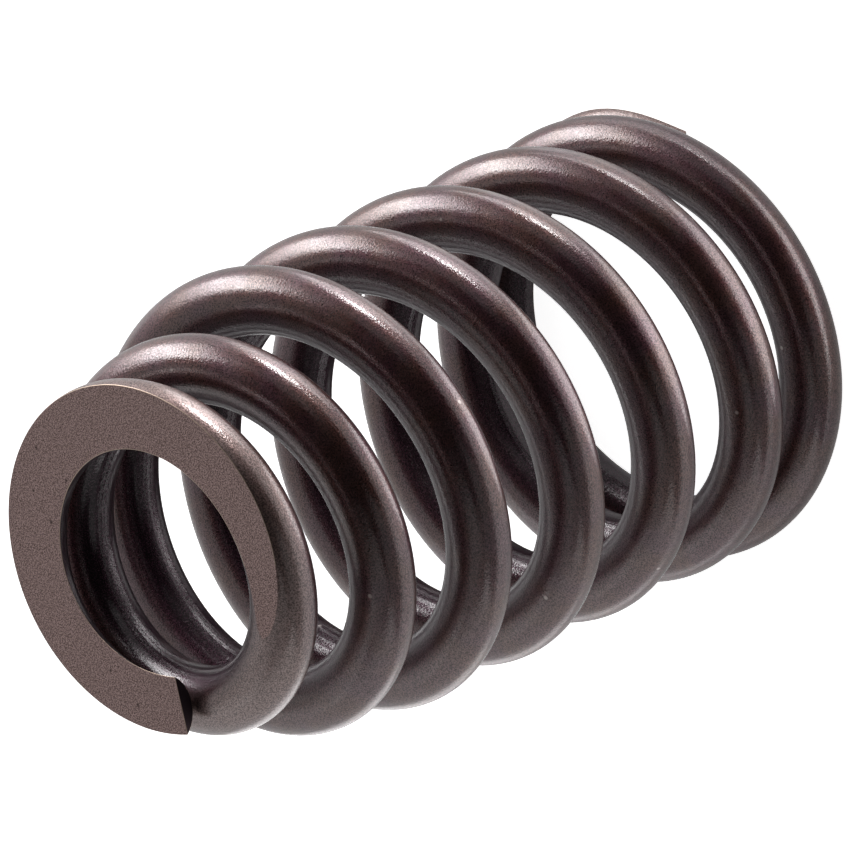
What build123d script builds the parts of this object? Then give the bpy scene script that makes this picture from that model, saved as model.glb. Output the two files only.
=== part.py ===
from build123d import *
import math
import os

# Engine valve spring: one length of oval spring wire, coiled right-handed into a beehive.
# It stands on its large ground end, on the plane z = 0, with the coil's axis on Z and
# the wire's large-end tip towards +X. Lengths are in millimetres. A place along the
# wire is counted in turns, from the tip at the end that the value's name gives.

# The wire is an oval, wider across the coil than it is high
WIRE_WIDTH = 4.15
WIRE_HEIGHT = 3.52

# The coil's radii are those of the wire's middle: a barrel that narrows a little as it
# rises, then a taper of nearly two turns down to the small end
TURNS = 7.56
LARGE_END_RADIUS = 12.95
SHOULDER_RADIUS = 12.3
SMALL_END_RADIUS = 9.0
SMALL_END_NARROW_TURNS = 0.83
TAPER_TURNS = 1.72

# Each tip is drawn in, so that it doesn't stand proud of its own end coil
LARGE_TIP_DRAW_IN = 0.95
LARGE_TIP_DRAW_IN_TURNS = 0.1
SMALL_TIP_DRAW_IN = 0.5
SMALL_TIP_DRAW_IN_TURNS = 0.25

# The pitch, in millimetres a turn, is full in the barrel and less in the taper
ACTIVE_PITCH = 8.7
TAPER_PITCH = 6.7
TAPER_PITCH_TURNS = 2.15
TAPER_PITCH_CHANGE_TURNS = 1.1

# The end coils are closed: each tip clears the next coil by its gap, and the pitch opens
# over the change that follows the closed stretch
LARGE_TIP_GAP = 0.5
LARGE_END_CLOSED_TURNS = 0.65
LARGE_END_CHANGE_TURNS = 1.35
SMALL_TIP_GAP = 0.08
SMALL_END_CLOSED_TURNS = 0.6
SMALL_END_CHANGE_TURNS = 0.5

# The end coils are ground flat until the tips are this thick
LARGE_TIP_THICKNESS = 0.76
SMALL_TIP_THICKNESS = 0.86

# How finely the wire's path is drawn, and how far its guide lies above it
POINTS_PER_TURN = 36
STEPS_PER_POINT = 10
GUIDE_RISE = 10


def ramp(place, start, length):
    """Rises smoothly from 0 at start to 1 at start + length."""
    share = min(max((place - start) / length, 0), 1)
    return share**2 * (3 - 2 * share)


def ramp_area(closed_turns, change_turns):
    """Area under a ramp over the first turn, which is how much of that turn is open."""
    share = min(max((1 - closed_turns) / change_turns, 0), 1)
    past_the_ramp = max(1 - closed_turns - change_turns, 0)
    return change_turns * (share**3 - share**4 / 2) + past_the_ramp


def closing_pitch(tip_gap, next_pitch, open_share):
    """Pitch of an end coil that lifts the next coil clear of the tip by the tip's gap."""
    return (WIRE_HEIGHT + tip_gap - next_pitch * open_share) / (1 - open_share)


large_end_open_share = ramp_area(LARGE_END_CLOSED_TURNS, LARGE_END_CHANGE_TURNS)
small_end_open_share = ramp_area(SMALL_END_CLOSED_TURNS, SMALL_END_CHANGE_TURNS)
large_end_pitch = closing_pitch(LARGE_TIP_GAP, ACTIVE_PITCH, large_end_open_share)
small_end_pitch = closing_pitch(SMALL_TIP_GAP, TAPER_PITCH, small_end_open_share)
taper_start = TURNS - SMALL_END_NARROW_TURNS - TAPER_TURNS


def radius(turn):
    """Radius of the wire's middle, by turns from the large end's tip."""
    barrel = LARGE_END_RADIUS - (LARGE_END_RADIUS - SHOULDER_RADIUS) * turn / taper_start
    taper = ramp(turn, taper_start, TAPER_TURNS)
    large_tip = LARGE_TIP_DRAW_IN * (1 - ramp(turn, 0, LARGE_TIP_DRAW_IN_TURNS))
    small_tip = SMALL_TIP_DRAW_IN * (1 - ramp(TURNS - turn, 0, SMALL_TIP_DRAW_IN_TURNS))
    return barrel * (1 - taper) + SMALL_END_RADIUS * taper - large_tip - small_tip


def pitch(turn):
    """Pitch of the winding, by turns from the large end's tip."""
    to_small_tip = TURNS - turn
    large_end = 1 - ramp(turn, LARGE_END_CLOSED_TURNS, LARGE_END_CHANGE_TURNS)
    taper = 1 - ramp(to_small_tip, TAPER_PITCH_TURNS, TAPER_PITCH_CHANGE_TURNS)
    small_end = 1 - ramp(to_small_tip, SMALL_END_CLOSED_TURNS, SMALL_END_CHANGE_TURNS)
    return (
        ACTIVE_PITCH
        + (large_end_pitch - ACTIVE_PITCH) * large_end
        + (TAPER_PITCH - ACTIVE_PITCH) * taper
        + (small_end_pitch - TAPER_PITCH) * small_end
    )


# Points along the wire's middle, each lifted by the pitch summed in small steps
point_count = math.ceil(TURNS * POINTS_PER_TURN)
step = TURNS / point_count / STEPS_PER_POINT
height = LARGE_TIP_THICKNESS - WIRE_HEIGHT / 2
wire_middle = []
for point in range(point_count + 1):
    turn = TURNS * point / point_count
    angle = 2 * math.pi * turn
    wire_middle.append(Vector(radius(turn) * math.cos(angle), radius(turn) * math.sin(angle), height))
    height += sum(pitch(turn + (part + 0.5) * step) * step for part in range(STEPS_PER_POINT))

free_length = wire_middle[-1].Z - WIRE_HEIGHT / 2 + SMALL_TIP_THICKNESS

with BuildLine() as guide:
    # The same path higher up, which keeps the oval upright all along the coil
    Spline(*[place + Vector(0, 0, GUIDE_RISE) for place in wire_middle])

with BuildPart() as valve_spring:
    with BuildLine() as coil:
        Spline(*wire_middle)
    with BuildSketch(Plane(origin=coil.line @ 0, x_dir=(1, 0, 0), z_dir=coil.line % 0)):
        Ellipse(WIRE_WIDTH / 2, WIRE_HEIGHT / 2)
    sweep(path=coil.line, binormal=guide.line.edge())
    # Both end coils are ground flat, square to the axis
    split(bisect_by=Plane.XY, keep=Keep.TOP)
    split(bisect_by=Plane.XY.offset(free_length), keep=Keep.BOTTOM)

valve_spring.part.label = "valve_spring"

os.makedirs("parts", exist_ok=True)
export_step(valve_spring.part, "parts/valve_spring.step")
print(f"free length {free_length:.3f} mm")
print(f"closing pitches {large_end_pitch:.3f} and {small_end_pitch:.3f} mm a turn")
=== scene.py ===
# %% [markdown]
# # A beehive valve spring
# The real object is one length of oval spring wire, coiled into a barrel that narrows to a small
# end, with both ends ground flat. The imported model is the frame: it gives the place and the size.
# The piece built here replaces it for the eye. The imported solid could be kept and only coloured,
# but its mesh knows nothing of the wire's direction. A coil wound anew is smoother, and its finish
# can follow the wire.

# %% Load the frame
import math

import bpy
from mathutils import Matrix, Quaternion, Vector


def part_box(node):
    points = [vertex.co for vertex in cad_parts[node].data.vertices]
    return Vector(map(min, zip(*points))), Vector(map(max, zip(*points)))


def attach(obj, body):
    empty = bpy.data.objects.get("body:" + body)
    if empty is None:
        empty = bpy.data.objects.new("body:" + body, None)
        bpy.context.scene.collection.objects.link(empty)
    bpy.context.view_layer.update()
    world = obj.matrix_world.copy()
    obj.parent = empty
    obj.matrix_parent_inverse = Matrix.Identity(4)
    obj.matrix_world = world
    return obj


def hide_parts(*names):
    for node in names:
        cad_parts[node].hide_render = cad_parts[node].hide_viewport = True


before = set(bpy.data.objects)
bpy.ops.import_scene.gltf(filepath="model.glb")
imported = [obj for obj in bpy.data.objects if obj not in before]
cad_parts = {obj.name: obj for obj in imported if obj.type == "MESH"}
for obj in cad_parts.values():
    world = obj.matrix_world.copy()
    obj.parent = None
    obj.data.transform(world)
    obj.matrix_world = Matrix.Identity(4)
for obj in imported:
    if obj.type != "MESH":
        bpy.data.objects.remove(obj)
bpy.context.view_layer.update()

spring_bottom, spring_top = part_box("valve_spring")
MM = 0.001

# %% [markdown]
# ## The driving sizes
# A spring maker gives the wire's section, the coil's radii, the number of turns and the pitch.
# The end coils' pitch could be given too, but a closed end has to lie against the next coil, so it
# is worked out from the other sizes, and stays right when one of them changes. Radii are those of
# the wire's middle. A place along the wire is counted in turns, from the tip at the end that the
# value's name gives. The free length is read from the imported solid.

# %% The driving sizes
# The wire is drawn a hair narrower than the solid's, so that its surface stays inside the solid's box
HAIR_INSIDE_MM = 0.005
lengths_mm = {
    "Wire Width": 4.15 - 2 * HAIR_INSIDE_MM,
    "Wire Height": 3.52,
    "Large End Radius": 12.95,
    "Shoulder Radius": 12.3,
    "Small End Radius": 9.0,
    "Large Tip Draw-in": 0.95,
    "Small Tip Draw-in": 0.5,
    "Active Pitch": 8.7,
    "Taper Pitch": 6.7,
    "Large Tip Gap": 0.5,
    "Small Tip Gap": 0.08,
    "Large Tip Thickness": 0.76,
}
turns = {
    "Turns": 7.56,
    "Small End Narrow Turns": 0.83,
    "Taper Turns": 1.72,
    "Large Tip Draw-in Turns": 0.1,
    "Small Tip Draw-in Turns": 0.25,
    "Taper Pitch Turns": 2.15,
    "Taper Pitch Change Turns": 1.1,
    "Large End Closed Turns": 0.65,
    "Large End Change Turns": 1.35,
    "Small End Closed Turns": 0.6,
    "Small End Change Turns": 0.5,
}


def ramp_area(closed_turns, change_turns):
    """Area under a smooth ramp over the first turn, which is how much of that turn is open."""
    share = min(max((1 - closed_turns) / change_turns, 0), 1)
    past_the_ramp = max(1 - closed_turns - change_turns, 0)
    return change_turns * (share**3 - share**4 / 2) + past_the_ramp


def closing_pitch(end, next_pitch):
    """Pitch of an end coil that lifts the next coil clear of the tip by the tip's gap."""
    open_share = ramp_area(turns[f"{end} End Closed Turns"], turns[f"{end} End Change Turns"])
    lift = lengths_mm["Wire Height"] + lengths_mm[f"{end} Tip Gap"]
    return (lift - lengths_mm[next_pitch] * open_share) / (1 - open_share)


sizes = {name: value * MM for name, value in lengths_mm.items()} | turns
sizes["Large End Pitch"] = closing_pitch("Large", "Active Pitch") * MM
sizes["Small End Pitch"] = closing_pitch("Small", "Taper Pitch") * MM
sizes["Free Length"] = spring_top.z - spring_bottom.z
print("closing pitches in mm a turn:",
      [round(sizes[name] / MM, 3) for name in ("Large End Pitch", "Small End Pitch")])

# %% [markdown]
# ## One helper for every node
# A node tree is a drawing made of boxes and links, and is usually made with the mouse. In a script
# each box would take several lines, so this one function adds a box, sets it, and fills its inputs
# in order, by name or by number. Where a value is another node, its first output is linked.

# %% The helper
def add(tree, kind, *values, **settings):
    """Adds a node. Values fill its inputs in order, and a dictionary fills those that it names."""
    node = tree.nodes.new(kind)
    for name, value in settings.items():
        setattr(node, name, value)
    filled = dict(enumerate(value for value in values if not isinstance(value, dict)))
    for named in (value for value in values if isinstance(value, dict)):
        filled.update(named)
    for place, value in filled.items():
        if isinstance(value, bpy.types.Node):
            value = value.outputs[0]
        if isinstance(value, bpy.types.NodeSocket):
            tree.links.new(value, node.inputs[place])
        else:
            node.inputs[place].default_value = value
    return node


def linear(hex_colour):
    """Turns an sRGB colour such as #64524f into the linear values that a shader takes."""
    shares = [int(hex_colour[place:place + 2], 16) / 255 for place in (1, 3, 5)]
    return [*(c / 12.92 if c <= 0.04045 else ((c + 0.055) / 1.055) ** 2.4 for c in shares), 1.0]


print("mid grey as a shader takes it:", [round(c, 3) for c in linear("#808080")])

# %% [markdown]
# ## The wire's path
# On the real spring a coiling machine feeds the wire against its tools, and their setting gives
# the radius and the pitch at each moment. The path could be a curve drawn by hand, but that would
# never keep the gaps even. It is a curve of many points instead. Their radius is a formula of the
# turn: a barrel that narrows a little, a smooth taper, and two tips drawn in. Their height is the
# pitch summed from point to point with Accumulate Field, just as the machine's feed adds up.

# %% Start the tree and name its inputs
RINGS = 1040
coil = bpy.data.node_groups.new("Beehive Coil", "GeometryNodeTree")
coil.interface.new_socket("Geometry", in_out="INPUT", socket_type="NodeSocketGeometry")
coil.interface.new_socket("Geometry", in_out="OUTPUT", socket_type="NodeSocketGeometry")
for name, value in sizes.items():
    socket = coil.interface.new_socket(name, in_out="INPUT", socket_type="NodeSocketFloat")
    socket.default_value = value
for name in ("Wire Finish", "Ground Finish", "Tip Painted Dark"):
    coil.interface.new_socket(name, in_out="INPUT", socket_type="NodeSocketMaterial")
given = add(coil, "NodeGroupInput").outputs
print("sizes that the tree takes:", len(sizes))

# %% Turns along the path
line = add(coil, "GeometryNodeCurvePrimitiveLine", {"End": (1, 0, 0)})
path = add(coil, "GeometryNodeResampleCurve", {"Curve": line, "Count": RINGS}, mode="COUNT")
index = add(coil, "GeometryNodeInputIndex")
turn = add(coil, "ShaderNodeMapRange", index, 0, RINGS - 1, 0, given["Turns"])
turn_step = add(coil, "ShaderNodeMath", given["Turns"], RINGS - 1, operation="DIVIDE")
half_step = add(coil, "ShaderNodeMath", turn_step, 0.5, operation="MULTIPLY")
turn_between = add(coil, "ShaderNodeMath", turn, half_step, operation="ADD")
print("rings in a turn:", round(RINGS / turns["Turns"], 1))

# %% Radius of the wire's middle
narrow_start = add(coil, "ShaderNodeMath", given["Turns"], given["Small End Narrow Turns"],
                   operation="SUBTRACT")
taper_start = add(coil, "ShaderNodeMath", narrow_start, given["Taper Turns"], operation="SUBTRACT")
barrel = add(coil, "ShaderNodeMapRange", turn, 0, taper_start,
             given["Large End Radius"], given["Shoulder Radius"], clamp=False)
taper = add(coil, "ShaderNodeMapRange", turn, taper_start, narrow_start, 0, 1,
            interpolation_type="SMOOTHSTEP")
body_radius = add(coil, "ShaderNodeMix", {"Factor": taper, "A": barrel, "B": given["Small End Radius"]})
large_tip = add(coil, "ShaderNodeMapRange", turn, 0, given["Large Tip Draw-in Turns"],
                given["Large Tip Draw-in"], 0, interpolation_type="SMOOTHSTEP")
small_tip_start = add(coil, "ShaderNodeMath", given["Turns"], given["Small Tip Draw-in Turns"],
                      operation="SUBTRACT")
small_tip = add(coil, "ShaderNodeMapRange", turn, small_tip_start, given["Turns"],
                0, given["Small Tip Draw-in"], interpolation_type="SMOOTHSTEP")
both_tips = add(coil, "ShaderNodeMath", large_tip, small_tip, operation="ADD")
radius = add(coil, "ShaderNodeMath", body_radius, both_tips, operation="SUBTRACT")
print("nodes up to the radius:", len(coil.nodes))

# %% Pitch, and the height that it adds up to
closed = given["Large End Closed Turns"]
opened = add(coil, "ShaderNodeMath", closed, given["Large End Change Turns"], operation="ADD")
pitch = add(coil, "ShaderNodeMapRange", turn_between, closed, opened,
            given["Large End Pitch"], given["Active Pitch"], interpolation_type="SMOOTHSTEP")
for stretch, kept, before, after in (
        ("Taper Pitch", "Taper Pitch Turns", "Active Pitch", "Taper Pitch"),
        ("Small End", "Small End Closed Turns", "Taper Pitch", "Small End Pitch")):
    stop = add(coil, "ShaderNodeMath", given["Turns"], given[kept], operation="SUBTRACT")
    start = add(coil, "ShaderNodeMath", stop, given[f"{stretch} Change Turns"], operation="SUBTRACT")
    change = add(coil, "ShaderNodeMath", given[after], given[before], operation="SUBTRACT")
    part = add(coil, "ShaderNodeMapRange", turn_between, start, stop, 0, change,
               interpolation_type="SMOOTHSTEP")
    pitch = add(coil, "ShaderNodeMath", pitch, part, operation="ADD")
rise = add(coil, "ShaderNodeMath", pitch, turn_step, operation="MULTIPLY")
risen = add(coil, "GeometryNodeAccumulateField", {"Value": rise})
half_height = add(coil, "ShaderNodeMath", given["Wire Height"], 0.5, operation="MULTIPLY")
first_height = add(coil, "ShaderNodeMath", given["Large Tip Thickness"], half_height, operation="SUBTRACT")
height = add(coil, "ShaderNodeMath", risen.outputs["Trailing"], first_height, operation="ADD")
print("nodes up to the height:", len(coil.nodes))

# %% Place the path's points
angle = add(coil, "ShaderNodeMath", turn, math.tau, operation="MULTIPLY")
cosine = add(coil, "ShaderNodeMath", angle, operation="COSINE")
sine = add(coil, "ShaderNodeMath", angle, operation="SINE")
east = add(coil, "ShaderNodeMath", radius, cosine, operation="MULTIPLY")
north = add(coil, "ShaderNodeMath", radius, sine, operation="MULTIPLY")
middle = add(coil, "ShaderNodeCombineXYZ", east, north, height)
path = add(coil, "GeometryNodeSetPosition", {"Geometry": path, "Position": middle})
for name, value in (("middle", add(coil, "GeometryNodeInputPosition")),
                    ("forward", add(coil, "GeometryNodeInputTangent"))):
    path = add(coil, "GeometryNodeStoreNamedAttribute", {"Geometry": path, "Name": name, "Value": value},
               data_type="FLOAT_VECTOR")
along = add(coil, "GeometryNodeSplineParameter").outputs["Length"]
path = add(coil, "GeometryNodeStoreNamedAttribute", {"Geometry": path, "Name": "along", "Value": along},
           data_type="FLOAT")
print("nodes for the path:", len(coil.nodes))

# %% [markdown]
# ## The wire's section
# The real wire is drawn to an oval, and a grinding wheel cuts the end coils flat. A Boolean could
# cut the faces, but it leaves a ragged rim where the face runs out on the wire. So each point of
# the path gets a ring of points from Curve to Mesh, and a formula places the ring. Where the wire
# is whole the ring is the oval. Where the wheel has cut it, the ring is the rest of the oval and a
# straight chord in the plane of the end face. Elsewhere the chord's points lie closed up at the
# oval's top or bottom and are merged there, so the face's outline is exact.

# %% Rings along the path
ARC_STEPS = 28
CHORD_STEPS = 5
HALF_RING = ARC_STEPS + 2 * CHORD_STEPS
# The ring's own radius is of no matter, because its points are placed below
ANY_RADIUS = 1 * MM
circle = add(coil, "GeometryNodeCurvePrimitiveCircle", {"Resolution": 2 * HALF_RING, "Radius": ANY_RADIUS})
profile = add(coil, "GeometryNodeStoreNamedAttribute",
              {"Geometry": circle, "Name": "column", "Value": index}, data_type="FLOAT")
tube = add(coil, "GeometryNodeCurveToMesh", {"Curve": path, "Profile Curve": profile, "Fill Caps": True})
print("points in a ring:", 2 * HALF_RING)

# %% The ring's own directions
wire_middle = add(coil, "GeometryNodeInputNamedAttribute", {"Name": "middle"}, data_type="FLOAT_VECTOR")
forward = add(coil, "GeometryNodeInputNamedAttribute", {"Name": "forward"}, data_type="FLOAT_VECTOR")
sideways = add(coil, "ShaderNodeVectorMath", forward, (0, 0, 1), operation="CROSS_PRODUCT")
outward = add(coil, "ShaderNodeVectorMath", sideways, operation="NORMALIZE")
upward = add(coil, "ShaderNodeVectorMath", outward, forward, operation="CROSS_PRODUCT")
uprightness = add(coil, "ShaderNodeSeparateXYZ", upward).outputs["Z"]
middle_height = add(coil, "ShaderNodeSeparateXYZ", wire_middle).outputs["Z"]
print("nodes up to the ring's directions:", len(coil.nodes))

# %% Where the two end faces cut the oval
below_top = add(coil, "ShaderNodeMath", given["Free Length"], middle_height, operation="SUBTRACT")
cut_angles = []
for distance in (below_top, middle_height):
    in_ring = add(coil, "ShaderNodeMath", distance, uprightness, operation="DIVIDE")
    in_heights = add(coil, "ShaderNodeMath", in_ring, half_height, operation="DIVIDE")
    on_oval = add(coil, "ShaderNodeClamp", in_heights, -1, 1)
    cut_angles.append(add(coil, "ShaderNodeMath", on_oval, operation="ARCCOSINE"))
top_cut, bottom_cut = cut_angles
print("end faces that cut the wire:", len(cut_angles))

# %% Place the rings' points
column = add(coil, "GeometryNodeInputNamedAttribute", {"Name": "column"}, data_type="FLOAT")
other_way = add(coil, "ShaderNodeMath", 2 * HALF_RING, column, operation="SUBTRACT")
from_top = add(coil, "ShaderNodeMath", column, other_way, operation="MINIMUM")
to_bottom = add(coil, "ShaderNodeMath", HALF_RING, from_top, operation="SUBTRACT")
second_half = add(coil, "ShaderNodeMath", column, HALF_RING, operation="GREATER_THAN")
side = add(coil, "ShaderNodeMapRange", second_half, 0, 1, 1, -1)
bottom_angle = add(coil, "ShaderNodeMath", math.pi, bottom_cut, operation="SUBTRACT")
around = add(coil, "ShaderNodeMapRange", from_top, CHORD_STEPS, HALF_RING - CHORD_STEPS,
             top_cut, bottom_angle)
spread = 1.0
for steps_in in (from_top, to_bottom):
    # A sine closes the chord's points up towards its ends, where the rim is
    quarter = add(coil, "ShaderNodeMapRange", steps_in, 0, CHORD_STEPS, 0, math.pi / 2)
    share = add(coil, "ShaderNodeMath", quarter, operation="SINE")
    spread = add(coil, "ShaderNodeMath", share, spread, operation="MULTIPLY")
across = add(coil, "ShaderNodeMath", around, operation="SINE")
across = add(coil, "ShaderNodeMath", across, spread, operation="MULTIPLY")
across = add(coil, "ShaderNodeMath", across, side, operation="MULTIPLY")
high = add(coil, "ShaderNodeMath", around, operation="COSINE")
half_width = add(coil, "ShaderNodeMath", given["Wire Width"], 0.5, operation="MULTIPLY")
out_by = add(coil, "ShaderNodeMath", across, half_width, operation="MULTIPLY")
up_by = add(coil, "ShaderNodeMath", high, half_height, operation="MULTIPLY")
out_part = add(coil, "ShaderNodeVectorMath", {0: outward, "Scale": out_by}, operation="SCALE")
up_part = add(coil, "ShaderNodeVectorMath", {0: upward, "Scale": up_by}, operation="SCALE")
from_middle = add(coil, "ShaderNodeVectorMath", out_part, up_part, operation="ADD")
placed = add(coil, "ShaderNodeVectorMath", wire_middle, from_middle, operation="ADD")
print("nodes up to the rings' points:", len(coil.nodes))

# %% Set the rings, keep their places for the finish, and weld them
# On the wire, x is -1 at the coil's inner side and 1 at its outer side, and y is -1 below and 1 above
on_wire = add(coil, "ShaderNodeCombineXYZ", across, high, 0)
tube = add(coil, "GeometryNodeStoreNamedAttribute", {"Geometry": tube, "Name": "on_wire", "Value": on_wire},
           data_type="FLOAT_VECTOR")
tube = add(coil, "GeometryNodeSetPosition", {"Geometry": tube, "Position": placed})
WELD = 0.002 * MM
tube = add(coil, "GeometryNodeMergeByDistance", {"Geometry": tube, "Distance": WELD})
for name in ("middle", "forward", "column"):
    tube = add(coil, "GeometryNodeRemoveAttribute", {"Geometry": tube, "Name": name})
print("welded within", WELD / MM, "mm")

# %% Which faces the wheel has ground, and the tree's end
NEAR_FACE = 0.01 * MM
# The tube's faces have four corners at most, and the flat end of a tip has many
TUBE_CORNERS = 4
place_z = add(coil, "ShaderNodeSeparateXYZ", add(coil, "GeometryNodeInputPosition")).outputs["Z"]
small_face = add(coil, "ShaderNodeMath", given["Free Length"], NEAR_FACE, operation="SUBTRACT")
at_top = add(coil, "ShaderNodeMath", place_z, small_face, operation="GREATER_THAN")
at_bottom = add(coil, "ShaderNodeMath", place_z, NEAR_FACE, operation="LESS_THAN")
is_ground = add(coil, "ShaderNodeMath", at_top, at_bottom, operation="ADD")
corners = add(coil, "GeometryNodeInputMeshFaceNeighbors").outputs["Vertex Count"]
is_tip = add(coil, "ShaderNodeMath", corners, TUBE_CORNERS, operation="GREATER_THAN")
smooth = add(coil, "GeometryNodeSetShadeSmooth", {"Geometry": tube, "Shade Smooth": True})
whole = add(coil, "GeometryNodeRealizeInstances", {"Geometry": smooth})
dressed = add(coil, "GeometryNodeSetMaterial", {"Geometry": whole, "Material": given["Wire Finish"]})
# The tips' flat ends get the finish that is painted dark, a painted dark reflection
for chosen, finish in ((is_ground, "Ground Finish"), (is_tip, "Tip Painted Dark")):
    dressed = add(coil, "GeometryNodeSetMaterial",
                  {"Geometry": dressed, "Selection": chosen, "Material": given[finish]})
add(coil, "NodeGroupOutput", dressed)
print("nodes in the coil's tree:", len(coil.nodes))

# %% [markdown]
# ## Shot-peened wire
# Oil-tempered spring wire is a dark plum-brown metal under a thin, clear film of oxide and oil.
# Peening then hammers it with steel shot. An image could hold such a skin, but it would have to be
# laid along seven turns of wire and would show its pixels up close. So the patterns are worked out
# from the place, in Object coordinates. What follows the wire reads the place on the wire that the
# coil's tree has kept. The metal's own shader gives the brown, and its coat gives the film.

# %% Start a finish
# A Mix node has its two colours at inputs 6 and 7 and the mixed colour at output 2
FIRST_COLOUR = 6
SECOND_COLOUR = 7
MIXED_COLOUR = 2


def new_finish(name, roughness, metallic=1.0):
    """Starts a material, and gives it back with its tree and its shader."""
    material = bpy.data.materials.new(name)
    material.use_nodes = True
    shader = material.node_tree.nodes["Principled BSDF"]
    shader.inputs["Roughness"].default_value = roughness
    shader.inputs["Metallic"].default_value = metallic
    return material, material.node_tree, shader


print("a Mix node's colours are its inputs", FIRST_COLOUR, "and", SECOND_COLOUR)

# %% [markdown]
# ## The skin's colour
# The tempering oxide varies from plum to a warmer brown, a few millimetres to a patch. The shot
# hardly reaches the inner side of the coil, which keeps a purpler skin, painted darker there: partly
# that skin and partly painted shade inside the coil. Beside the ground faces the skin is painted
# paler, a painted sheen. Each of these could be painted by hand, but here a mask made from the place
# on the spring mixes one colour over the other.

# %% Plum, brown and rubbed skin
SKIN_PATCH = 2.6 * MM
SKIN_PLUM = "#503239"
SKIN_BROWN = "#543632"
# Darker and purpler inside: partly the unpeened skin, partly painted shade inside the coil
SKIN_INSIDE_AND_SHADE = "#38222d"
# Paler beside the ground faces: a painted sheen
SKIN_PAINTED_SHEEN = "#806a66"
SHEEN_DEPTH = 2.4 * MM
SHEEN_MOST = 0.85
# The noise values between which a patch turns from one colour to the other
PATCH_EDGE = (0.38, 0.62)


def skin_colour(tree, place, inner):
    """The oxide skin: plum and brown patches, darker inside, partly as painted shade, and a painted sheen
    by the faces.
    """
    patches = add(tree, "ShaderNodeTexNoise", {"Vector": place, "Scale": 1 / SKIN_PATCH, "Detail": 3.0})
    warmth = add(tree, "ShaderNodeMapRange", patches, *PATCH_EDGE, 0, 1)
    height = add(tree, "ShaderNodeSeparateXYZ", place).outputs["Z"]
    # Beside the ground faces the skin is painted paler, a painted sheen
    near_faces = []
    for face_height, inwards in ((sizes["Free Length"], -1), (0, 1)):
        fades_out = face_height + inwards * SHEEN_DEPTH
        is_whole = face_height + inwards * SHEEN_DEPTH / 4
        near_faces.append(add(tree, "ShaderNodeMapRange", height, fades_out, is_whole, 0, SHEEN_MOST,
                              interpolation_type="SMOOTHSTEP"))
    near_either = add(tree, "ShaderNodeMath", *near_faces, operation="MAXIMUM")
    outer = add(tree, "ShaderNodeMath", 1.0, inner, operation="SUBTRACT")
    painted_sheen = add(tree, "ShaderNodeMath", near_either, outer, operation="MULTIPLY")
    skin = linear(SKIN_PLUM)
    for mask, colour in ((warmth, SKIN_BROWN), (inner, SKIN_INSIDE_AND_SHADE), (painted_sheen, SKIN_PAINTED_SHEEN)):
        skin = add(tree, "ShaderNodeMix",
                   {"Factor": mask, FIRST_COLOUR: skin, SECOND_COLOUR: linear(colour)},
                   data_type="RGBA").outputs[MIXED_COLOUR]
    return skin


print("skin colours:", SKIN_PLUM, SKIN_BROWN, SKIN_INSIDE_AND_SHADE, SKIN_PAINTED_SHEEN)

# %% [markdown]
# ## Mottling, nicks and the film's cover
# The shot leaves the skin mottled and rubs the film thin on the dimples' edges, which is the grain
# in the highlights. Relief alone could give it, but at this distance a dimple is hardly a pixel
# wide and its shading averages out, so the colour and the film's cover carry the grain too. Here
# and there a nick shows bare metal.

# %% Mottled and nicked skin
MOTTLE_GRAIN = 0.09 * MM
MOTTLE_EDGE = (0.36, 0.64)
MOTTLE_SHADES = (0.5, 1.5)
FILM_COVER = (0.6, 1.0)
FILM_COVER_INSIDE = 0.8
NICK_SPACING = 3.4 * MM
NICK_METAL = "#b8aba6"
NICK_MOST = 0.8
# Where a nick's edge fades out and where it is whole, as shares of the spacing
NICK_EDGE = (0.05, 0.025)


def mottled(tree, place, skin, inner):
    """Mottles and nicks the skin's colour, and gives it back with how much of it the film covers."""
    mottle = add(tree, "ShaderNodeTexNoise", {"Vector": place, "Scale": 1 / MOTTLE_GRAIN, "Detail": 1.0})
    shades = add(tree, "ShaderNodeMapRange", mottle, *MOTTLE_EDGE, *MOTTLE_SHADES)
    skin = add(tree, "ShaderNodeMix", {"Factor": 1.0, FIRST_COLOUR: skin, SECOND_COLOUR: shades},
               data_type="RGBA", blend_type="MULTIPLY").outputs[MIXED_COLOUR]
    nicks = add(tree, "ShaderNodeTexVoronoi", {"Vector": place, "Scale": 1 / NICK_SPACING})
    nick = add(tree, "ShaderNodeMapRange", nicks.outputs["Distance"], *NICK_EDGE, 0, NICK_MOST)
    skin = add(tree, "ShaderNodeMix",
               {"Factor": nick, FIRST_COLOUR: skin, SECOND_COLOUR: linear(NICK_METAL)},
               data_type="RGBA").outputs[MIXED_COLOUR]
    film = add(tree, "ShaderNodeMapRange", mottle, *MOTTLE_EDGE, *FILM_COVER)
    thinned = add(tree, "ShaderNodeMapRange", inner, 0, 1, 1.0, FILM_COVER_INSIDE)
    cover = add(tree, "ShaderNodeMath", film, thinned, operation="MULTIPLY")
    return skin, cover


print("mottling:", MOTTLE_GRAIN / MM, "mm, nicks:", NICK_SPACING / MM, "mm apart")

# %% [markdown]
# ## Dimples and drawn lines
# Each shot leaves a dimple of about a tenth of a millimetre. The drawing die leaves fine lines
# along the wire, which stay at the coil's inner edge, where no shot comes. Both could be modelled
# in the mesh, but they are only some thousandths of a millimetre deep, so a Bump node gives them.

# %% The wire's relief
DIMPLE = 0.13 * MM
FINE_DIMPLE = 0.08 * MM
FINE_DIMPLE_SHARE = 0.5
# Real drawn lines are some hundredths of a millimetre wide, too fine to show, so they are coarser here
DRAWN_LINE = 0.2 * MM
DRAWN_LINE_LENGTH = 22 * MM
DRAWN_LINE_SHARE = 1.3
# Places across the wire where the drawn lines begin and where they are whole
DRAWN_EDGE = (-0.45, -0.85)
RELIEF_DEPTH = 0.012 * MM


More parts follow.
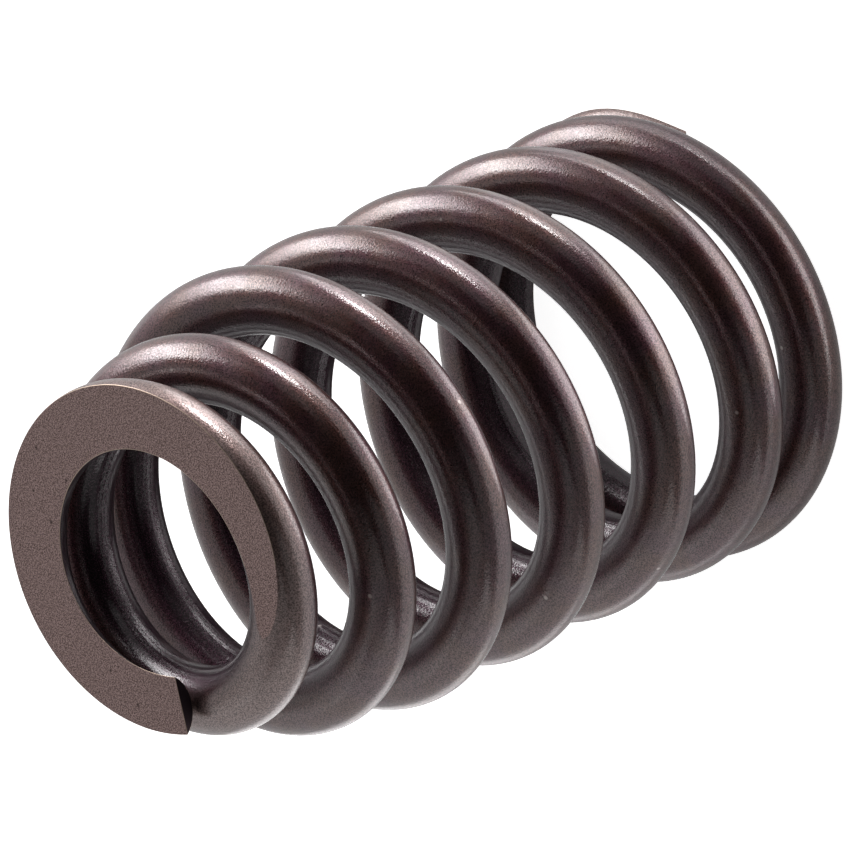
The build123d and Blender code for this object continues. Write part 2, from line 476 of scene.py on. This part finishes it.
def wire_relief(tree, place, on_wire, across):
    """Dimples of two sizes, with drawn lines over them at the coil's inner edge."""
    dimples = add(tree, "ShaderNodeTexNoise", {"Vector": place, "Scale": 1 / DIMPLE, "Detail": 1.0})
    fine = add(tree, "ShaderNodeTexNoise", {"Vector": place, "Scale": 1 / FINE_DIMPLE, "Detail": 1.0})
    peened = add(tree, "ShaderNodeMath", fine, FINE_DIMPLE_SHARE, dimples, operation="MULTIPLY_ADD")
    lines_around = add(tree, "ShaderNodeVectorMath",
                       {0: on_wire, "Scale": sizes["Wire Width"] / 2 / DRAWN_LINE}, operation="SCALE")
    along = add(tree, "ShaderNodeAttribute", attribute_name="along").outputs["Fac"]
    stretched = add(tree, "ShaderNodeMath", along, 1 / DRAWN_LINE_LENGTH, operation="MULTIPLY")
    down_wire = add(tree, "ShaderNodeCombineXYZ", 0, 0, stretched)
    line_place = add(tree, "ShaderNodeVectorMath", lines_around, down_wire, operation="ADD")
    lines = add(tree, "ShaderNodeTexNoise", {"Vector": line_place, "Scale": 1.0, "Detail": 2.0})
    drawn = add(tree, "ShaderNodeMapRange", across, *DRAWN_EDGE, 0, DRAWN_LINE_SHARE,
                interpolation_type="SMOOTHSTEP")
    relief = add(tree, "ShaderNodeMath", lines, drawn, peened, operation="MULTIPLY_ADD")
    return add(tree, "ShaderNodeBump", {"Height": relief, "Distance": RELIEF_DEPTH, "Strength": 1.0})


print("dimples:", DIMPLE / MM, "and", FINE_DIMPLE / MM, "mm")

# %% [markdown]
# ## The whole finish of the wire
# The film mirrors more sharply than the peened metal under it, and without colour, so a highlight
# has a bright, neutral middle in a broad brown glow. One metal with one roughness could give only
# the middle or the glow. The film's index is high, because the oxide's is. Its gloss drifts in
# clouds, and is keener inside the coil, where the wire is as smooth as the die left it.

# %% The wire's finish
METAL_ROUGHNESS = 0.45
FILM_IOR = 2.1
FILM_ROUGHNESS = (0.14, 0.24)
FILM_ROUGHNESS_INSIDE = 0.12
GLOSS_CLOUD = 1.4 * MM
CLOUD_EDGE = (0.35, 0.65)
# Places across the wire where its inner side begins and where it is whole
INNER_EDGE = (0.05, -0.75)


def peened_wire():
    """Oil-tempered, shot-peened spring steel: to the eye a dark brown metal with a satin, grainy shine."""
    material, tree, shader = new_finish("Shot-peened oil-tempered steel", METAL_ROUGHNESS)
    place = add(tree, "ShaderNodeTexCoord").outputs["Object"]
    on_wire = add(tree, "ShaderNodeAttribute", attribute_name="on_wire").outputs["Vector"]
    across = add(tree, "ShaderNodeSeparateXYZ", on_wire).outputs["X"]
    inner = add(tree, "ShaderNodeMapRange", across, *INNER_EDGE, 0, 1, interpolation_type="SMOOTHSTEP")
    skin, cover = mottled(tree, place, skin_colour(tree, place, inner), inner)
    relief = wire_relief(tree, place, on_wire, across)
    clouds = add(tree, "ShaderNodeTexNoise", {"Vector": place, "Scale": 1 / GLOSS_CLOUD, "Detail": 2.0})
    satin = add(tree, "ShaderNodeMapRange", clouds, *CLOUD_EDGE, *FILM_ROUGHNESS)
    shine = add(tree, "ShaderNodeMix", {"Factor": inner, "A": satin, "B": FILM_ROUGHNESS_INSIDE})
    tree.links.new(skin, shader.inputs["Base Color"])
    for name, node in (("Coat Weight", cover), ("Coat Roughness", shine),
                       ("Normal", relief), ("Coat Normal", relief)):
        tree.links.new(node.outputs[0], shader.inputs[name])
    shader.inputs["Coat IOR"].default_value = FILM_IOR
    return material


wire_finish = peened_wire()
print(wire_finish.name, len(wire_finish.node_tree.nodes), "nodes")

# %% [markdown]
# ## Ground face
# The wheel leaves a flat, fine-grained face, duller and warmer than the wire, with a few pits. A
# turned face would have rings, which a Wave texture gives, but the wheel's grit crosses this face
# in every direction, so its grain is an even noise.

# %% The ground faces' finish
# Real grit marks are some hundredths of a millimetre wide, too fine to show, so they are coarser here
GRIT_GRAIN = 0.08 * MM
GRIT_EDGE = (0.36, 0.64)
GRIT_DARK = "#65524f"
GRIT_PALE = "#c5aba7"
GRIT_DEPTH = 0.006 * MM
PIT_SPACING = 1.9 * MM
PIT_SHADE = "#2c2222"
PIT_MOST = 0.75
# Where a pit's edge fades out and where it is whole, as shares of the spacing
PIT_EDGE = (0.07, 0.03)
GROUND_ROUGHNESS = 0.55


def ground_face():
    """Ground spring steel: to the eye a matt, warm brown face with a fine grain."""
    material, tree, shader = new_finish("Ground spring steel", GROUND_ROUGHNESS)
    place = add(tree, "ShaderNodeTexCoord").outputs["Object"]
    grain = add(tree, "ShaderNodeTexNoise", {"Vector": place, "Scale": 1 / GRIT_GRAIN, "Detail": 3.0})
    shade = add(tree, "ShaderNodeMapRange", grain, *GRIT_EDGE, 0, 1)
    pits = add(tree, "ShaderNodeTexVoronoi", {"Vector": place, "Scale": 1 / PIT_SPACING})
    pit = add(tree, "ShaderNodeMapRange", pits.outputs["Distance"], *PIT_EDGE, 0, PIT_MOST)
    face = linear(GRIT_DARK)
    for mask, colour in ((shade, GRIT_PALE), (pit, PIT_SHADE)):
        face = add(tree, "ShaderNodeMix",
                   {"Factor": mask, FIRST_COLOUR: face, SECOND_COLOUR: linear(colour)},
                   data_type="RGBA").outputs[MIXED_COLOUR]
    relief = add(tree, "ShaderNodeBump", {"Height": grain, "Distance": GRIT_DEPTH, "Strength": 1.0})
    tree.links.new(face, shader.inputs["Base Color"])
    tree.links.new(relief.outputs["Normal"], shader.inputs["Normal"])
    return material


ground_finish = ground_face()
print(ground_finish.name, len(ground_finish.node_tree.nodes), "nodes")

# %% [markdown]
# ## Rims and cut ends
# The wheel burnishes the thin rim of each ground face, which catches the light as a pale line.
# The tips are sheared off. Their ends are dull and painted nearly black, a painted dark reflection
# of the dim room. Patterns could be added here as on the wire, but a rim is about a pixel wide and
# the tips are hardly seen, so a colour and a roughness of their own are enough.

# %% The rims' and the cut ends' finishes
RIM_SHINE = "#c9b3a2"
RIM_ROUGHNESS = 0.38
# The cut ends' colour is a painted dark reflection
TIP_PAINTED_DARK = "#453a3f"
TORN_ROUGHNESS = 0.5


def burnished_rim():
    """Burnished steel: to the eye a pale, smooth line round a ground face."""
    material, _, shader = new_finish("Burnished steel rim", RIM_ROUGHNESS)
    shader.inputs["Base Color"].default_value = linear(RIM_SHINE)
    return material


def painted_dark_end():
    """Sheared steel, its end painted dull and dark: a painted dark reflection."""
    material, _, shader = new_finish("Sheared steel, painted dark", TORN_ROUGHNESS)
    shader.inputs["Base Color"].default_value = linear(TIP_PAINTED_DARK)
    return material


painted_dark_tip = painted_dark_end()
rim_finish = burnished_rim()
print(painted_dark_tip.name, "and", rim_finish.name)

# %% [markdown]
# ## From the tree to a plain mesh
# The coil could stay live, but the parts library wants a plain mesh. The modifier's inputs are set
# by their identifiers, because a name could belong to two of them. A Bevel then rounds the rims
# that the wheel and the shears left, and the evaluated object is kept as a mesh.

# %% Wind the spring
RIM_WIDTH = 0.09 * MM
RIM_ANGLE = math.radians(35)
spring = bpy.data.objects.new("valve_spring_coil", bpy.data.meshes.new("valve_spring_coil"))
bpy.context.scene.collection.objects.link(spring)
finishes = {"Wire Finish": wire_finish, "Ground Finish": ground_finish, "Tip Painted Dark": painted_dark_tip}
wanted = sizes | finishes
winding = spring.modifiers.new("Beehive Coil", "NODES")
winding.node_group = coil
for item in coil.interface.items_tree:
    if item.in_out == "INPUT" and item.name in wanted:
        winding[item.identifier] = wanted[item.name]
rims = spring.modifiers.new("Rims", "BEVEL")
rims.width = RIM_WIDTH
rims.segments = 2
rims.limit_method = "ANGLE"
rims.angle_limit = RIM_ANGLE
rims.harden_normals = True
# The Bevel takes a material's number only where the object has a slot of that number
for finish in (*finishes.values(), rim_finish):
    spring.data.materials.append(finish)
rims.material = len(finishes)
print("modifiers:", [modifier.name for modifier in spring.modifiers])

# %% Keep it as a plain mesh
evaluated = spring.evaluated_get(bpy.context.evaluated_depsgraph_get())
spring_mesh = bpy.data.meshes.new_from_object(evaluated)
spring.modifiers.clear()
spring.data = spring_mesh
spring_mesh.name = "valve_spring_coil"
spring_mesh.materials.append(rim_finish)
for slot, finish in enumerate(spring_mesh.materials):
    print(finish.name, sum(face.material_index == slot for face in spring_mesh.polygons), "faces")

# %% Measure it
spring_mesh.calc_loop_triangles()
volume = 0.0
for triangle in spring_mesh.loop_triangles:
    a, b, c = (spring_mesh.vertices[point].co for point in triangle.vertices)
    volume += a.dot(b.cross(c)) / 6
print("spring:", len(spring_mesh.vertices), "points,", len(spring_mesh.loop_triangles), "triangles,",
      round(volume / MM**3, 1), "mm3, which is above nought because its faces point outwards")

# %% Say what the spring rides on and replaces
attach(spring, "root")
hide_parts("valve_spring")
print(spring.name, "replaces the packed solid")

# %% [markdown]
# ## The floor
# The spring stands on white paper, whose own shadow stays soft and grey. More light could make it
# white, but it would wash out the spring too. So the paper glows a little for the camera instead.
# The metal mirrors it more dimly, as it would a sheet that ends not far from the spring.

# %% The floor
FLOOR_SIDE = 6.0
PAPER_WHITE = "#f4f4f4"
PAPER_ROUGHNESS = 0.9
CAMERA_GLOW = 0.93
MIRRORED_GLOW = 0.22
half_side = FLOOR_SIDE / 2
floor_corners = [(-half_side, -half_side, 0), (half_side, -half_side, 0),
                 (half_side, half_side, 0), (-half_side, half_side, 0)]
floor_mesh = bpy.data.meshes.new("floor")
floor_mesh.from_pydata(floor_corners, [], [(0, 1, 2, 3)])
floor = bpy.data.objects.new("floor", floor_mesh)
bpy.context.scene.collection.objects.link(floor)
paper, paper_tree, paper_shader = new_finish("White paper floor", PAPER_ROUGHNESS, metallic=0.0)
paper_shader.inputs["Base Color"].default_value = linear(PAPER_WHITE)
paper_shader.inputs["Emission Color"].default_value = linear("#ffffff")
rays = add(paper_tree, "ShaderNodeLightPath").outputs
mirrored = add(paper_tree, "ShaderNodeMath", rays["Is Glossy Ray"], rays["Is Transmission Ray"],
               operation="MAXIMUM")
mirrored = add(paper_tree, "ShaderNodeMath", mirrored, MIRRORED_GLOW, operation="MULTIPLY")
glow = add(paper_tree, "ShaderNodeMath", rays["Is Camera Ray"], CAMERA_GLOW, mirrored,
           operation="MULTIPLY_ADD")
paper_tree.links.new(glow.outputs[0], paper_shader.inputs["Emission Strength"])
floor_mesh.materials.append(paper)
print("floor:", FLOOR_SIDE, "m a side")

# %% [markdown]
# ## The camera
# A product photograph like this one is taken from some way off with a long lens, so that near and
# far coils look alike in size. A wide lens close by could frame the spring as well, but would
# swell the end that is nearer. The view is rolled over, which brings the small end to the lower
# left. Its place was found by fitting the coil's outline to the photograph's.

# %% The camera
# Angles are in degrees, and the lens is in mm on a sensor of Blender's own width
CAMERA_AZIMUTH = 37.94
CAMERA_ELEVATION = 45.32
CAMERA_ROLL = -114.47
CAMERA_DISTANCE = 343.16 * MM
CAMERA_AIM = Vector((0.93, 0.10, 24.03)) * MM
LENS = 239.4


def direction(azimuth, elevation):
    """Unit direction from the spring, by azimuth from -Y towards +X and elevation, in degrees."""
    a, e = math.radians(azimuth), math.radians(elevation)
    return Vector((math.sin(a) * math.cos(e), -math.cos(a) * math.cos(e), math.sin(e)))


camera = bpy.data.objects.new("camera", bpy.data.cameras.new("camera"))
bpy.context.scene.collection.objects.link(camera)
bpy.context.scene.camera = camera
towards_camera = direction(CAMERA_AZIMUTH, CAMERA_ELEVATION)
camera.location = CAMERA_AIM + towards_camera * CAMERA_DISTANCE
camera.rotation_mode = "QUATERNION"
roll = Quaternion((0, 0, 1), math.radians(CAMERA_ROLL))
camera.rotation_quaternion = (-towards_camera).to_track_quat("-Z", "Y") @ roll
camera.data.lens = LENS
camera.data.clip_start = 0.01
camera.data.clip_end = 20.0
print("camera at", [round(place, 3) for place in camera.location], "m")

# %% [markdown]
# ## Softboxes
# Satin metal shows what stands around it, so its bands of light are drawn by placing softboxes
# where the wire mirrors them. A picture of a room could light it too, but each band would then be
# where the room has it. The key is four narrow boxes side by side, brightest inside, so that its
# mirror image fades at its edges. Broad, weak fills stand around. The rest of the room is dim,
# which leaves the near-black bands.

# %% A softbox
def softbox(name, middle, aim, top, width, height, brightness):
    """A softbox that shines along aim, its height along top, as bright as given, where white paper is 1."""
    lamp = bpy.data.lights.new(name, "AREA")
    lamp.shape = "RECTANGLE"
    lamp.size = width
    lamp.size_y = height
    lamp.energy = brightness * math.pi * width * height
    box = bpy.data.objects.new(name, lamp)
    side = aim.cross(top).normalized()
    box.rotation_mode = "QUATERNION"
    box.rotation_quaternion = Matrix((side, side.cross(aim), -aim)).transposed().to_quaternion()
    box.location = middle
    bpy.context.scene.collection.objects.link(box)


print("a softbox of one square metre, as bright as white paper, takes", round(math.pi, 2), "W")

# %% The key and the fills
# Each has its azimuth, elevation, half its width and half its height in degrees, and its brightness
UPPER_SOFTBOXES = {
    "key_softbox_left": (165, 22, 6, 20, 2.6),
    "key_softbox_middle": (152.5, 22, 6.5, 20, 7.8),
    "key_softbox_right": (139, 22, 7, 20, 3.7),
    "key_softbox_edge": (124, 22, 8, 20, 0.57),
    "fill_softbox_left": (-90, 19, 46, 22, 0.62),
    "fill_softbox_back": (-165, 15, 31, 18, 0.48),
    "fill_softbox_high_back": (-142, 50, 28, 17, 0.34),
    "fill_softbox_high_left": (-60, 55, 22, 12, 0.24),
    "fill_softbox_high_side": (150, 55, 18, 12, 0.14),
    "fill_softbox_front": (-15, 19, 31, 22, 0.17),
    "fill_softbox_side": (95, 19, 22, 22, 0.2),
}
LAMP_DISTANCE = 0.7
SKYWARD = Vector((0, 0, 1))
for name, (azimuth, elevation, half_wide, half_high, brightness) in UPPER_SOFTBOXES.items():
    towards = direction(azimuth, elevation)
    width = 2 * LAMP_DISTANCE * math.tan(math.radians(half_wide))
    height = 2 * LAMP_DISTANCE * math.tan(math.radians(half_high))
    softbox(name, CAMERA_AIM + towards * LAMP_DISTANCE, -towards, SKYWARD, width, height, brightness)
print("softboxes around the spring:", len(UPPER_SOFTBOXES))

# %% [markdown]
# ## Strips on the floor
# The undersides of the photograph's coils are edged with light, which mirrors something bright that
# lies low. One large sheet could give that, but only some sides of the coils have the edge. So
# strips lie on the floor, a hair above the paper, and shine upwards from where the coils mirror
# them.

# %% The strips on the floor
# Each has its azimuth, start and stop in mm from the axis, half its width in degrees, and its brightness
LOW_STRIPS = {
    "low_strip_front": (40, 18, 50, 25, 1.9),
    "low_strip_front_middle": (35, 28, 50, 7.5, 8.5),
    "low_strip_side_near": (97, 18, 50, 22, 0.68),
    "low_strip_side": (104, 50, 180, 15, 2.5),
    "low_strip_side_far": (97, 180, 400, 7.5, 28.0),
    "low_strip_left": (-90, 50, 140, 20, 1.07),
    "low_strip_left_front": (-15, 30, 320, 30, 0.22),
}
LIFT = 1 * MM
for name, (azimuth, start, stop, half_wide, brightness) in LOW_STRIPS.items():
    from_axis = direction(azimuth, 0)
    reach = (start + stop) / 2 * MM
    width = 2 * reach * math.tan(math.radians(half_wide))
    middle = from_axis * reach + SKYWARD * LIFT
    softbox(name, middle, SKYWARD, from_axis, width, (stop - start) * MM, brightness)
print("strips on the floor:", len(LOW_STRIPS))

# %% [markdown]
# ## The room
# A studio's room is dim, and its backdrop is white. A world with one brightness could be only one
# of the two. So the camera sees white here, also through anything clear, and the metal mirrors
# the dim room.

# %% The room
ROOM_LEVEL = 0.01
world = bpy.data.worlds.new("Studio")
bpy.context.scene.world = world
world.use_nodes = True
background = world.node_tree.nodes["Background"]
background.inputs["Color"].default_value = linear("#ffffff")
rays = add(world.node_tree, "ShaderNodeLightPath").outputs
seen = add(world.node_tree, "ShaderNodeMath", rays["Is Camera Ray"], rays["Is Transmission Ray"],
           operation="MAXIMUM")
strength = add(world.node_tree, "ShaderNodeMapRange", seen, 0, 1, ROOM_LEVEL, 1.0)
world.node_tree.links.new(strength.outputs[0], background.inputs["Strength"])
bpy.context.scene.view_settings.view_transform = "Standard"
print("room's level:", ROOM_LEVEL)
